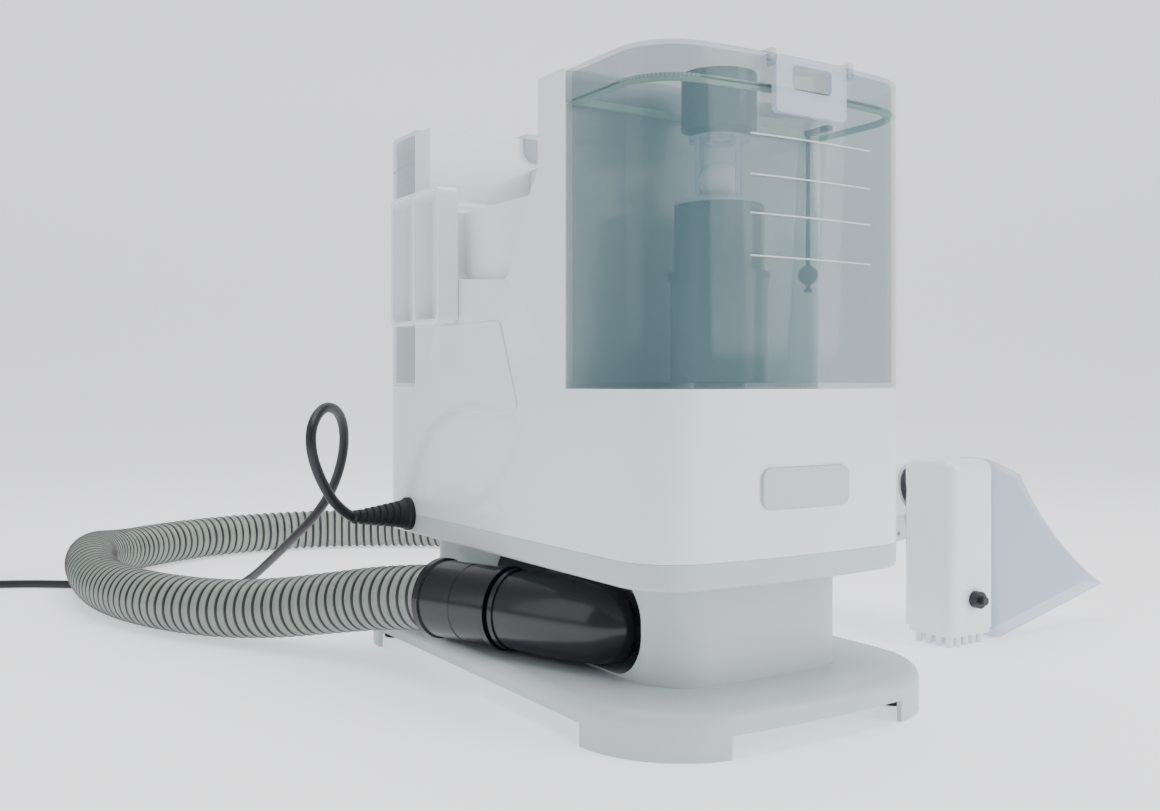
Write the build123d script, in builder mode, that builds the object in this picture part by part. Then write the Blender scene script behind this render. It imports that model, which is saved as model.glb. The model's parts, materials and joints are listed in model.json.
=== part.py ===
from build123d import *
import math
import os

os.makedirs("parts", exist_ok=True)

# A portable carpet cleaner: two tanks on a white body, which stands on a narrower pedestal
# and a wide plinth. The hose winds round the pedestal. -Y is the front, +X is to the right of
# someone who faces the front, and z = 0 is the floor. All sizes are in millimetres.

# ---- body ----
body_width = 190.0
body_length = 356.0
body_corner = 34.0
body_bow = 8.0
wall = 3.0
seam_z = 95.0
ledge_z = 183.0
body_top_z = 360.0
pan_height = 14.0

# ---- plinth and pedestal ----
plinth_width = 224.0
plinth_length = 388.0
plinth_corner = 62.0
plinth_bow = 10.0
plinth_height = 24.0
plinth_skin = 3.0
arch_height = 12.0
foot_pad_radius = 9.0
foot_pad_height = 3.0
pedestal_width = 136.0
pedestal_length = 300.0
pedestal_corner = 30.0
pedestal_bow = 5.0
screw_radius = 2.0
screw_gap = 0.05

# ---- middle of the body ----
pillar_front_y = -91.0
pillar_depth = 30.0
rear_wall_depth = 24.0
rear_wall_back_y = 108.0
valley_z = 298.0
valley_height = body_top_z - valley_z + 10
trench_z = 255.0
trench_width = 140.0
handle_width = 34.0
handle_height = 26.0
handle_z = 328.0

# ---- tanks ----
tank_wall = 2.5
tank_floor = 3.0
tank_gap = 0.5
lid_height = 19.0
lid_gap = 0.4
standpipe_x = -20.0
standpipe_y = -132.0
standpipe_radius = 27.0
standpipe_top_z = 284.0
cage_radius = 17.0
cage_top_z = 322.0
ball_radius = 11.0
gauge_x = 22.0
gauge_y = -158.0
gauge_rod_radius = 1.2
gauge_gap = 0.08
latch_width = 50.0
latch_height = 30.0
pin_gap = 0.05
cap_y = 143.0
cap_radius = 19.0
valve_x = -45.0
valve_y = 142.0

# ---- hose, elbow and cuff ----
hose_radius = 21.0
hose_wall = 1.5
elbow_axis_z = 50.0
elbow_yaw = 20.0
elbow_radius = 23.0
elbow_length = 97.0
cuff_radius = 24.0
cuff_length = 60.0
port_y = -98.0
port_radius = 17.0
duct_radius = 15.0
duct_wall = 2.0

# ---- mains lead ----
cord_radius = 3.5
boot_y = 118.0
boot_z = 94.5
boot_length = 42.0
boot_radius = 10.0
coil_ring_radius = 42.0
coil_section = 28.0
coil_x = -366.0
coil_y = 587.0
coil_low_z = 1.5
plug_radius = 18.5

# ---- hand tool ----
tool_x = 240.0
tool_y = -45.0
tool_z = 108.0
tool_tilt = 15.0
grip_radius = 21.0
grip_length = 180.0
tool_cuff_length = 32.0
fan_wall = 2.0
fan_reach = 100.0
mouth_width = 132.0
mouth_lean = 0.218

# ---- the row's origin: on the floor, mid-way across the machine and its hand tool ----
joint_x = -90.0
cuff_ring = 1.2
yaw = math.radians(elbow_yaw)
set_left_x = joint_x - cuff_length * math.sin(yaw) - (cuff_radius + cuff_ring) * math.cos(yaw)
set_right_x = tool_x + fan_reach + mouth_width / 2 * math.sqrt(1 - mouth_lean**2)
row_place = Location((-(set_left_x + set_right_x) / 2, 0, 0))


def rounded_plan(width, length, corner, bow):
    """A plan with straight sides, bowed ends and round corners."""
    side_x = width / 2
    end_y = length / 2
    with BuildSketch() as plan:
        with BuildLine():
            ThreePointArc((-side_x, bow - end_y), (0, -end_y), (side_x, bow - end_y))
            Line((side_x, bow - end_y), (side_x, end_y - bow))
            ThreePointArc((side_x, end_y - bow), (0, end_y), (-side_x, end_y - bow))
            Line((-side_x, end_y - bow), (-side_x, bow - end_y))
        make_face()
        fillet(plan.vertices(), radius=corner)
    return plan.sketch


body_plan = rounded_plan(body_width, body_length, body_corner, body_bow)
body_inner = rounded_plan(
    body_width - 2 * wall, body_length - 2 * wall, body_corner - wall, body_bow
)
tank_inner = rounded_plan(
    body_width - 2 * tank_wall, body_length - 2 * tank_wall, body_corner - tank_wall, body_bow
)
plinth_plan = rounded_plan(plinth_width, plinth_length, plinth_corner, plinth_bow)
plinth_inner = rounded_plan(
    plinth_width - 2 * wall, plinth_length - 2 * wall, plinth_corner - wall, plinth_bow
)
pedestal_plan = rounded_plan(pedestal_width, pedestal_length, pedestal_corner, pedestal_bow)
pedestal_inner = rounded_plan(
    pedestal_width - 2 * wall, pedestal_length - 2 * wall, pedestal_corner - wall, pedestal_bow
)

pan_z = seam_z - pan_height
half_body = body_width / 2
half_length = body_length / 2
pillar_back_y = pillar_front_y + pillar_depth
rear_wall_front_y = rear_wall_back_y - rear_wall_depth

# ---- plinth ----
screw_x = pedestal_width / 2 - 20
screw_y = pedestal_length / 2 - 28
foot_x = plinth_width / 2 - 26
foot_y = plinth_length / 2 - 34

with BuildPart() as base_plate:
    with BuildSketch():
        add(plinth_plan)
    extrude(amount=plinth_height)
    fillet(base_plate.faces().sort_by(Axis.Z)[-1].edges(), radius=7)
    with BuildSketch():
        add(plinth_inner)
    extrude(amount=plinth_height - plinth_skin - 5, mode=Mode.SUBTRACT)
    with BuildSketch(Plane.XY.offset(plinth_height - plinth_skin - 5)):
        offset(plinth_inner, amount=-5)
    extrude(amount=5, mode=Mode.SUBTRACT)
    with BuildSketch():
        Rectangle(plinth_width - 2 * plinth_corner + 20, plinth_length + 2)
        Rectangle(plinth_width + 2, plinth_length - 2 * plinth_corner)
    extrude(amount=arch_height, mode=Mode.SUBTRACT)
    with BuildSketch(Plane.XY.offset(foot_pad_height)):
        with GridLocations(2 * foot_x, 2 * foot_y, 2, 2):
            Circle(foot_pad_radius)
    extrude(amount=plinth_height - plinth_skin - foot_pad_height)
    with BuildSketch(Plane.XY.offset(plinth_height)):
        with GridLocations(2 * screw_x, 2 * screw_y, 2, 2):
            Circle(screw_radius + screw_gap)
    extrude(amount=-plinth_height, mode=Mode.SUBTRACT)
base_plate.part.label = "base_plate"
export_step(base_plate.part.moved(row_place), "parts/base_plate.step")

with BuildPart() as rubber_feet:
    with BuildSketch():
        with GridLocations(2 * foot_x, 2 * foot_y, 2, 2):
            Circle(foot_pad_radius)
    extrude(amount=foot_pad_height)
rubber_feet.part.label = "rubber_feet"
export_step(rubber_feet.part.moved(row_place), "parts/rubber_feet.step")

with BuildPart() as base_screws:
    with BuildSketch(Plane.XY.offset(plinth_height - plinth_skin)):
        with GridLocations(2 * screw_x, 2 * screw_y, 2, 2):
            Circle(2 * screw_radius)
    extrude(amount=-2.4)
    with BuildSketch(Plane.XY.offset(plinth_height - plinth_skin)):
        with GridLocations(2 * screw_x, 2 * screw_y, 2, 2):
            Circle(screw_radius)
    extrude(amount=12)
base_screws.part.label = "base_screws"
export_step(base_screws.part.moved(row_place), "parts/base_screws.step")

# ---- pedestal, with a bay on the left for the elbow ----
bay_depth_x = -30.0
bay_front_y = -124.0
bay_back_y = 40.0
bay_mid_z = (plinth_height + pan_z) / 2

with BuildPart() as pedestal:
    with BuildSketch(Plane.XY.offset(plinth_height)):
        add(pedestal_plan)
    extrude(amount=pan_z - plinth_height)
    with BuildSketch(Plane.XY.offset(plinth_height + wall)):
        add(pedestal_inner)
        with Locations((bay_depth_x + wall - 60, (bay_front_y + bay_back_y) / 2)):
            Rectangle(120, bay_back_y - bay_front_y + 2 * wall, mode=Mode.SUBTRACT)
    extrude(amount=pan_z - plinth_height, mode=Mode.SUBTRACT)
    with BuildSketch(Plane.YZ.offset(bay_depth_x)) as bay:
        with Locations(((bay_front_y + bay_back_y) / 2, bay_mid_z)):
            Rectangle(bay_back_y - bay_front_y, pan_z - plinth_height - 2)
        fillet(bay.vertices(), radius=24)
    extrude(amount=-60, mode=Mode.SUBTRACT)
    with BuildSketch(Plane.YZ.offset(bay_depth_x - 1)):
        with Locations((port_y, elbow_axis_z)):
            Circle(port_radius)
    extrude(amount=wall + 2, mode=Mode.SUBTRACT)
    with BuildSketch(Plane.XY.offset(plinth_height + wall)):
        with GridLocations(2 * screw_x, 2 * screw_y, 2, 2):
            Circle(5)
    extrude(amount=10)
    with BuildSketch(Plane.XY.offset(plinth_height)):
        with GridLocations(2 * screw_x, 2 * screw_y, 2, 2):
            Circle(screw_radius + screw_gap)
    extrude(amount=11, mode=Mode.SUBTRACT)
pedestal.part.label = "pedestal"
export_step(pedestal.part.moved(row_place), "parts/pedestal.step")

# ---- pan under the body ----
with BuildPart() as bottom_pan:
    with BuildSketch(Plane.XY.offset(pan_z)):
        add(body_plan)
    extrude(amount=pan_height)
    fillet(bottom_pan.faces().sort_by(Axis.Z)[0].edges(), radius=2.5)
    with BuildSketch(Plane.XY.offset(pan_z + wall)):
        add(body_inner)
    extrude(amount=pan_height, mode=Mode.SUBTRACT)
    with BuildSketch(Plane.XY.offset(pan_z)):
        with Locations((18, 0)):
            Rectangle(76, 232)
    extrude(amount=wall, mode=Mode.SUBTRACT)
bottom_pan.part.label = "bottom_pan"
export_step(bottom_pan.part.moved(row_place), "parts/bottom_pan.step")

# ---- white body ----
with BuildPart() as main_shell:
    with BuildSketch(Plane.XY.offset(seam_z)):
        add(body_plan)
    extrude(amount=ledge_z - seam_z)
    with BuildSketch(Plane.XY.offset(ledge_z)):
        with Locations((0, (pillar_front_y + rear_wall_back_y) / 2)):
            Rectangle(body_width, rear_wall_back_y - pillar_front_y)
    extrude(amount=body_top_z - ledge_z)
    with BuildSketch(Plane.YZ) as valley:
        with Locations(((pillar_back_y + rear_wall_front_y) / 2, valley_z + valley_height / 2)):
            Rectangle(rear_wall_front_y - pillar_back_y, valley_height)
        fillet(valley.vertices().group_by(Axis.Y)[0], radius=14)
    extrude(amount=body_width, both=True, mode=Mode.SUBTRACT)
    with BuildSketch(Plane.XY.offset(trench_z)) as trench:
        with Locations((0, (pillar_back_y + rear_wall_front_y) / 2)):
            Rectangle(trench_width, rear_wall_front_y - pillar_back_y - 8)
        fillet(trench.vertices(), radius=12)
    extrude(amount=valley_z - trench_z + 1, mode=Mode.SUBTRACT)
    for side in (-1, 1):
        with BuildSketch(Plane.YZ.offset(side * half_body)) as scoop:
            Polygon((-54, valley_z + 1), (50, valley_z + 1), (48, 254), (-24, 248), align=None)
            fillet(scoop.vertices().sort_by(Axis.Y)[:2], radius=8)
        extrude(amount=-side * 9, mode=Mode.SUBTRACT)
    with BuildSketch(Plane.XY.offset(seam_z)):
        add(body_inner)
    extrude(amount=ledge_z - wall - seam_z, mode=Mode.SUBTRACT)
    with BuildSketch(Plane.XY.offset(ledge_z - wall)):
        with Locations((0, (pillar_front_y + rear_wall_back_y) / 2)):
            Rectangle(body_width - 2 * wall, rear_wall_back_y - pillar_front_y - 2 * wall)
    extrude(amount=trench_z - ledge_z - 10, mode=Mode.SUBTRACT)
    with BuildSketch(Plane.XY.offset(trench_z - 12)):
        with Locations((0, pillar_front_y + pillar_depth / 2)):
            Rectangle(body_width - 2 * wall, pillar_depth - 2 * wall)
        with Locations((0, rear_wall_back_y - rear_wall_depth / 2)):
            Rectangle(body_width - 2 * wall, rear_wall_depth - 2 * wall)
    extrude(amount=body_top_z - wall - trench_z + 12, mode=Mode.SUBTRACT)
    with BuildSketch(Plane.XY.offset(ledge_z)):
        with Locations((standpipe_x, standpipe_y)):
            Circle(duct_radius + 0.5)
    extrude(amount=-wall, mode=Mode.SUBTRACT)
    with BuildSketch(Plane.XZ.offset(-half_length - 1)):
        with Locations((0, 138)):
            with GridLocations(0, 11, 1, 5):
                SlotOverall(70, 5)
    extrude(amount=12, mode=Mode.SUBTRACT)
main_shell.part.label = "main_shell"
export_step(main_shell.part.moved(row_place), "parts/main_shell.step")

with BuildPart() as handle_bar:
    with BuildSketch(Plane.XZ.offset(-rear_wall_front_y)) as bar:
        with Locations((0, handle_z)):
            Rectangle(handle_width, handle_height)
        fillet(bar.vertices(), radius=9)
    extrude(amount=rear_wall_front_y - pillar_back_y)
handle_bar.part.label = "handle_bar"
export_step(handle_bar.part.moved(row_place), "parts/handle_bar.step")

with BuildPart() as side_cover:
    with BuildSketch(Plane.YZ.offset(-half_body)) as cover:
        Polygon((68, 224), (68, 168), (-40, 168), (-16, 224), align=None)
        fillet(cover.vertices(), radius=6)
    extrude(amount=-1.2)
side_cover.part.label = "side_cover"
export_step(side_cover.part.moved(row_place), "parts/side_cover.step")

badge_z = 131.0
with BuildPart() as badge:
    with BuildSketch(Plane.XZ.offset(half_length + 1.0)) as plate:
        with Locations((2, badge_z)):
            RectangleRounded(62, 22, 6)
    extrude(amount=-14)
    with BuildSketch(Plane.XY.offset(badge_z - 20)):
        add(body_plan)
    extrude(amount=40, mode=Mode.SUBTRACT)
badge.part.label = "badge"
export_step(badge.part.moved(row_place), "parts/badge.step")

# ---- accessory holder on the left side ----
caddy_depth = 15.0
caddy_front_y = 40.0
caddy_back_y = 116.0
caddy_low_z = 225.0
caddy_high_z = 313.0
caddy_wall = 3.0
caddy_mid_y = (caddy_front_y + caddy_back_y) / 2
pocket_width = (caddy_back_y - caddy_front_y - 3 * caddy_wall) / 2
with BuildPart() as tool_caddy:
    with BuildSketch(Plane.YZ.offset(-half_body)) as caddy_face:
        with Locations((caddy_mid_y, (caddy_low_z + caddy_high_z) / 2)):
            RectangleRounded(caddy_back_y - caddy_front_y, caddy_high_z - caddy_low_z, 5)
    extrude(amount=-caddy_depth)
    with BuildSketch(Plane.YZ.offset(-half_body - caddy_depth)) as pockets:
        with Locations((caddy_mid_y, (caddy_low_z + caddy_high_z) / 2)):
            with GridLocations(pocket_width + caddy_wall, 0, 2, 1):
                RectangleRounded(pocket_width, caddy_high_z - caddy_low_z - 2 * caddy_wall, 4)
    extrude(amount=caddy_depth - 2, mode=Mode.SUBTRACT)
tool_caddy.part.label = "tool_caddy"
export_step(tool_caddy.part.moved(row_place), "parts/tool_caddy.step")

# ---- power switch on the right side ----
switch_y = 40.0
switch_z = 225.0
rocker_gap = 0.6
with BuildPart() as switch_frame:
    with BuildSketch(Plane.YZ.offset(half_body)):
        with Locations((switch_y, switch_z)):
            RectangleRounded(34, 24, 4)
            Rectangle(24, 14, mode=Mode.SUBTRACT)
    extrude(amount=6)
switch_frame.part.label = "switch_frame"
export_step(switch_frame.part.moved(row_place), "parts/switch_frame.step")

with BuildPart() as rocker:
    with BuildSketch(Plane.XZ.offset(-switch_y)) as rocker_side:
        with Locations((half_body + 6.0, switch_z)):
            Circle(7 - rocker_gap)
    extrude(amount=12 - rocker_gap, both=True)
    with BuildSketch(Plane.YZ.offset(half_body)):
        with Locations((switch_y, switch_z)):
            Rectangle(24, 20)
    extrude(amount=1.0, mode=Mode.SUBTRACT)
    with BuildSketch(Plane.YZ.offset(half_body - 10)):
        with Locations((switch_y, switch_z)):
            Rectangle(40, 20)
    extrude(amount=11.0, mode=Mode.SUBTRACT)
rocker.part.label = "rocker"
export_step(rocker.part.moved(row_place), "parts/rocker.step")

# ---- suction motor, fan and pump, all on the pan's floor ----
motor_y = 62.0
mount_z = pan_z + wall
fan_z = mount_z + 6
fan_radius = 58.0
fan_height = 22.0
shaft_radius = 4.0
with BuildPart() as motor_mount:
    with BuildSketch(Plane.XY.offset(mount_z)):
        with Locations((0, motor_y)):
            Circle(fan_radius)
            Circle(fan_radius - 14, mode=Mode.SUBTRACT)
            with Locations((18, 0)):
                Rectangle(76, 232, mode=Mode.SUBTRACT)
    extrude(amount=fan_z - mount_z)
motor_mount.part.label = "motor_mount"
export_step(motor_mount.part.moved(row_place), "parts/motor_mount.step")

with BuildPart() as fan_housing:
    with BuildSketch(Plane.XY.offset(fan_z)):
        with Locations((0, motor_y)):
            Circle(fan_radius)
    extrude(amount=fan_height)
    with BuildSketch(Plane.XY.offset(fan_z + 2)):
        with Locations((0, motor_y)):
            Circle(fan_radius - 3)
    extrude(amount=fan_height - 4, mode=Mode.SUBTRACT)
    with BuildSketch(Plane.XY.offset(fan_z)):
        with Locations((0, motor_y)):
            Circle(16)
    extrude(amount=2, mode=Mode.SUBTRACT)
    with BuildSketch(Plane.XY.offset(fan_z + fan_height)):
        with Locations((0, motor_y)):
            Circle(shaft_radius + 0.5)
    extrude(amount=-2, mode=Mode.SUBTRACT)
fan_housing.part.label = "fan_housing"
export_step(fan_housing.part.moved(row_place), "parts/fan_housing.step")

with BuildPart() as impeller:
    with BuildSketch(Plane.XY.offset(fan_z + 5)):
        with Locations((0, motor_y)):
            Circle(fan_radius - 8)
    extrude(amount=2)
    with BuildSketch(Plane.XY.offset(fan_z + 5)):
        with Locations((0, motor_y)):
            Circle(9)
    extrude(amount=10)
    with BuildSketch(Plane.XY.offset(fan_z + 7)):
        with Locations((0, motor_y)):
            with PolarLocations(29, 8):
                Rectangle(36, 2)
    extrude(amount=8)
    with BuildSketch(Plane.XY.offset(fan_z + 5)):
        with Locations((0, motor_y)):
            Circle(shaft_radius)
    extrude(amount=fan_height - 4)
impeller.part.label = "impeller"
export_step(impeller.part.moved(row_place), "parts/impeller.step")

with BuildPart() as motor_can:
    with BuildSketch(Plane.XY.offset(fan_z + fan_height)):
        with Locations((0, motor_y)):
            Circle(42)
    extrude(amount=60)
    fillet(motor_can.faces().sort_by(Axis.Z)[-1].edges(), radius=8)
    with BuildSketch(Plane.XY.offset(fan_z + fan_height)):
        with Locations((0, motor_y)):
            Circle(shaft_radius + 0.5)
    extrude(amount=8, mode=Mode.SUBTRACT)
motor_can.part.label = "motor_can"
export_step(motor_can.part.moved(row_place), "parts/motor_can.step")

pump_x = -58.0
pump_y = -50.0
with BuildPart() as water_pump:
    with BuildSketch(Plane.XY.offset(mount_z)):
        with Locations((pump_x, pump_y)):
            RectangleRounded(40, 62, 6)
    extrude(amount=38)
    with BuildSketch(Plane.XY.offset(mount_z + 38)):
        with Locations((pump_x, pump_y + 18)):
            Circle(5)
    extrude(amount=14)
water_pump.part.label = "water_pump"
export_step(water_pump.part.moved(row_place), "parts/water_pump.step")

# ---- inlet: port in the bay, then a bent duct up to the front tank ----
with BuildPart() as hose_port:
    with BuildSketch(Plane.YZ.offset(bay_depth_x)):
        with Locations((port_y, elbow_axis_z)):
            Circle(port_radius + 5)
            Circle(duct_radius, mode=Mode.SUBTRACT)
    extrude(amount=-3)
    with BuildSketch(Plane.YZ.offset(bay_depth_x)):
        with Locations((port_y, elbow_axis_z)):
            Circle(port_radius - 0.05)
            Circle(duct_radius, mode=Mode.SUBTRACT)
    extrude(amount=wall + 4)
hose_port.part.label = "hose_port"
export_step(hose_port.part.moved(row_place), "parts/hose_port.step")

duct_start_x = bay_depth_x + wall + 4
with BuildPart() as inlet_duct:
    with BuildLine():
        FilletPolyline(
            (duct_start_x, port_y, elbow_axis_z),
            (12, port_y, elbow_axis_z),
            (12, port_y, 112),
            (standpipe_x, standpipe_y, 148),
            (standpipe_x, standpipe_y, ledge_z),
            radius=[20, 20, 20],
        )
    with BuildSketch(Plane.YZ.offset(duct_start_x)):
        with Locations((port_y, elbow_axis_z)):
            Circle(duct_radius)
            Circle(duct_radius - duct_wall, mode=Mode.SUBTRACT)
    sweep()
inlet_duct.part.label = "inlet_duct"
export_step(inlet_duct.part.moved(row_place), "parts/inlet_duct.step")

# ---- black elbow and hose cuff on one slanting axis ----
hose_dir = Vector(-math.sin(yaw), math.cos(yaw), 0)
joint_point = Vector(joint_x, -20, elbow_axis_z)
cuff_plane = Plane(origin=joint_point, x_dir=(0, 0, 1), z_dir=hose_dir)
with BuildPart() as hose_elbow:
    with BuildSketch(cuff_plane):
        Circle(elbow_radius)
    extrude(amount=-elbow_length)
    fillet(hose_elbow.faces().sort_by(Axis.Y)[0].edges(), radius=elbow_radius - 2)
    with BuildSketch(Plane.YZ.offset(-62)):
        with Locations((port_y, elbow_axis_z)):
            Circle(port_radius)
    extrude(amount=62 + bay_depth_x - 3)
    with BuildSketch(cuff_plane):
        Circle(elbow_radius - 3)
    extrude(amount=-elbow_length + 22, mode=Mode.SUBTRACT)
    with BuildSketch(Plane.YZ.offset(-62)):
        with Locations((port_y, elbow_axis_z)):
            Circle(port_radius - 3)
    extrude(amount=62 + bay_depth_x - 3, mode=Mode.SUBTRACT)
hose_elbow.part.label = "hose_elbow"
export_step(hose_elbow.part.moved(row_place), "parts/hose_elbow.step")

with BuildPart() as hose_cuff:
    with BuildSketch(cuff_plane):
        Circle(cuff_radius)
    extrude(amount=cuff_length)
    with BuildSketch(cuff_plane):
        Circle(elbow_radius - 4)
    extrude(amount=cuff_length, mode=Mode.SUBTRACT)
    with BuildSketch(cuff_plane):
        Circle(cuff_radius + cuff_ring)
        Circle(cuff_radius - 1, mode=Mode.SUBTRACT)
    extrude(amount=5)
    with BuildSketch(cuff_plane.offset(cuff_length - 5)):
        Circle(cuff_radius + cuff_ring)
        Circle(cuff_radius - 1, mode=Mode.SUBTRACT)
    extrude(amount=5)
hose_cuff.part.label = "hose_cuff"
export_step(hose_cuff.part.moved(row_place), "parts/hose_cuff.step")

# ---- hand tool: grip on a slanting axis, head, flared suction nozzle ----
tilt = math.radians(tool_tilt)
grip_dir = Vector(0, math.cos(tilt), -math.sin(tilt))
grip_plane = Plane(origin=(tool_x, tool_y, tool_z), x_dir=(1, 0, 0), z_dir=grip_dir)
tool_end = Vector(tool_x, tool_y, tool_z) + grip_dir * (grip_length + tool_cuff_length)
cuff_end = joint_point + hose_dir * cuff_length


def corner_radii(points):
    """The largest smooth arc at each corner of a route."""
    radii = []
    for a, b, c in zip(points, points[1:], points[2:]):
        run_in = Vector(b) - Vector(a)
        run_out = Vector(c) - Vector(b)
        turn = math.radians(run_in.get_angle(run_out))
        radii.append(0.45 * min(run_in.length, run_out.length) / math.tan(turn / 2))
    return radii


def route_report(name, points, radii, wire, solid, section):
    tight = ", ".join(f"{r:.0f}" for r in radii)
    print(f"{name}: length {wire.length:.0f}, radii {tight}")
    print(f"{name}: volume share {solid.volume / (section * wire.length):.4f}")


hose_route = [
    tuple(cuff_end),
    (-126, 80, 45),
    (-146, 126, 36),
    (-172, 172, 27),
    (-201, 220, 22),
    (-228, 272, 21.4),
    (-245, 328, 21.2),
    (-253, 388, 22),
    (-251, 450, 30),
    (-236, 508, 29.5),
    (-206, 560, 22),
    (-160, 602, 21.2),
    (-104, 629, 21.4),
    (-42, 640, 21.2),
    (20, 633, 21.4),
    (78, 610, 21.2),
    (130, 574, 21.4),
    (174, 528, 21.2),
    (207, 474, 21.4),
    (228, 414, 21.2),
    (238, 352, 22),
    (241, 292, 27),
    (tool_end.X + 0.4, tool_end.Y + 58, tool_end.Z - 15.2),
    tuple(tool_end),
]
hose_radii = corner_radii(hose_route)
with BuildPart() as suction_hose:
    with BuildLine() as hose_line:
        FilletPolyline(*hose_route, radius=hose_radii)
    with BuildSketch(Plane(origin=hose_line.wire() @ 0, z_dir=hose_line.wire() % 0)):
        Circle(hose_radius)
        Circle(hose_radius - hose_wall, mode=Mode.SUBTRACT)
    sweep()
hose_ring = math.pi * (hose_radius**2 - (hose_radius - hose_wall) ** 2)
route_report(
    "suction_hose", hose_route, hose_radii, hose_line.wire(), suction_hose.part, hose_ring
)
suction_hose.part.label = "suction_hose"
export_step(suction_hose.part.moved(row_place), "parts/suction_hose.step")

with BuildPart() as tool_cuff:
    with BuildSketch(grip_plane.offset(grip_length)):
        Circle(hose_radius + 2.5)
        Circle(hose_radius - 4, mode=Mode.SUBTRACT)
    extrude(amount=tool_cuff_length)
tool_cuff.part.label = "tool_cuff"
export_step(tool_cuff.part.moved(row_place), "parts/tool_cuff.step")

with BuildPart() as tool_grip:
    with BuildSketch(grip_plane):
        Circle(grip_radius)
        Circle(grip_radius - 3, mode=Mode.SUBTRACT)
    extrude(amount=grip_length)
tool_grip.part.label = "tool_grip"
export_step(tool_grip.part.moved(row_place), "parts/tool_grip.step")

trigger_gap = 0.4
trigger_pin_radius = 1.5
trigger_drop = grip_radius + 9
trigger_pivot = grip_plane.from_local_coords(Vector(0, trigger_drop, 16))
with BuildPart() as trigger_bracket:
    with BuildSketch(grip_plane.offset(8)) as bracket_ears:
        with Locations((0, grip_radius + 5)):
            Rectangle(24, 18)
            Rectangle(16 + 2 * trigger_gap, 30, mode=Mode.SUBTRACT)
        Circle(grip_radius, mode=Mode.SUBTRACT)
    extrude(amount=14)
    with BuildSketch(Plane.YZ.offset(tool_x)):
        with Locations((trigger_pivot.Y, trigger_pivot.Z)):
            Circle(trigger_pin_radius)
    extrude(amount=20, both=True, mode=Mode.SUBTRACT)
trigger_bracket.part.label = "trigger_bracket"
export_step(trigger_bracket.part.moved(row_place), "parts/trigger_bracket.step")

with BuildPart() as tool_trigger:
    with BuildSketch(grip_plane.offset(12)):
        with Locations((0, trigger_drop)):
            Rectangle(16, 8)
    extrude(amount=100)
    with BuildSketch(Plane.YZ.offset(tool_x)):
        with Locations((trigger_pivot.Y, trigger_pivot.Z)):
            Circle(trigger_pin_radius + pin_gap)
    extrude(amount=20, both=True, mode=Mode.SUBTRACT)
tool_trigger.part.label = "tool_trigger"
export_step(tool_trigger.part.moved(row_place), "parts/tool_trigger.step")

with BuildPart() as trigger_pin:
    with BuildSketch(Plane.YZ.offset(tool_x)):
        with Locations((trigger_pivot.Y, trigger_pivot.Z)):
            Circle(trigger_pin_radius)
    extrude(amount=12, both=True)
trigger_pin.part.label = "trigger_pin"
export_step(trigger_pin.part.moved(row_place), "parts/trigger_pin.step")

head_low_z = 12.0
collar_radius = 13.0
collar_y = tool_y - 24
collar_z = 100.0
head_high_z = 132.0
with BuildPart() as tool_head:
    with BuildSketch(Plane.XY.offset(head_low_z)):
        with Locations((tool_x + 2, tool_y - 26)):
            RectangleRounded(48, 46, 9)
    extrude(amount=head_high_z - head_low_z)
    fillet(tool_head.faces().sort_by(Axis.Z)[-1].edges(), radius=8)
    with BuildSketch(Plane.XY.offset(head_low_z)):
        with Locations((tool_x + 2, tool_y - 26)):
            RectangleRounded(42, 40, 6)
    extrude(amount=head_high_z - head_low_z - 9, mode=Mode.SUBTRACT)
    with BuildSketch(grip_plane.offset(-8)):
        Circle(grip_radius)
    extrude(amount=30, mode=Mode.SUBTRACT)
    with BuildSketch(Plane.YZ.offset(tool_x)):
        with Locations((collar_y, collar_z)):
            Circle(collar_radius - fan_wall)
    extrude(amount=40, mode=Mode.SUBTRACT)
tool_head.part.label = "tool_head"
export_step(tool_head.part.moved(row_place), "parts/tool_head.step")

head_right_x = tool_x + 26
fan_top_plane = Plane(
    origin=(head_right_x + 24, tool_y - 24, 124), x_dir=(0.94, 0, -0.34), z_dir=(0.34, 0, 0.94)
)
fan_mid_plane = Plane(
    origin=(head_right_x + 42, tool_y - 28, 72), x_dir=(0.96, 0, 0.06), z_dir=(-0.06, 0, 0.96)
)
fan_low_plane = Plane(
    origin=(tool_x + fan_reach, tool_y - 34, 15.5),
    x_dir=(math.sqrt(1 - mouth_lean**2), 0, mouth_lean),
    z_dir=(-mouth_lean, 0, math.sqrt(1 - mouth_lean**2)),
)
with BuildPart() as nozzle_fan:
    with BuildSketch(fan_low_plane):
        RectangleRounded(mouth_width, 17, 6)
    with BuildSketch(fan_mid_plane):
        RectangleRounded(78, 27, 10)
    with BuildSketch(fan_top_plane):
        RectangleRounded(46, 34, 12)
    loft()
    with BuildSketch(Plane.YZ.offset(head_right_x)):
        with Locations((collar_y, collar_z)):
            Circle(collar_radius)
    extrude(amount=22)
    with BuildSketch(fan_low_plane.offset(-0.5)):
        RectangleRounded(mouth_width - 2 * fan_wall, 17 - 2 * fan_wall, 4)
    with BuildSketch(fan_mid_plane):
        RectangleRounded(78 - 2 * fan_wall, 27 - 2 * fan_wall, 8)
    with BuildSketch(fan_top_plane.offset(-2 * fan_wall)):
        RectangleRounded(46 - 2 * fan_wall, 34 - 2 * fan_wall, 10)
    loft(mode=Mode.SUBTRACT)
    with BuildSketch(Plane.YZ.offset(head_right_x)):
        with Locations((collar_y, collar_z)):
            Circle(collar_radius - fan_wall)
    extrude(amount=22, mode=Mode.SUBTRACT)
nozzle_fan.part.label = "nozzle_fan"
export_step(nozzle_fan.part.moved(row_place), "parts/nozzle_fan.step")

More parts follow.
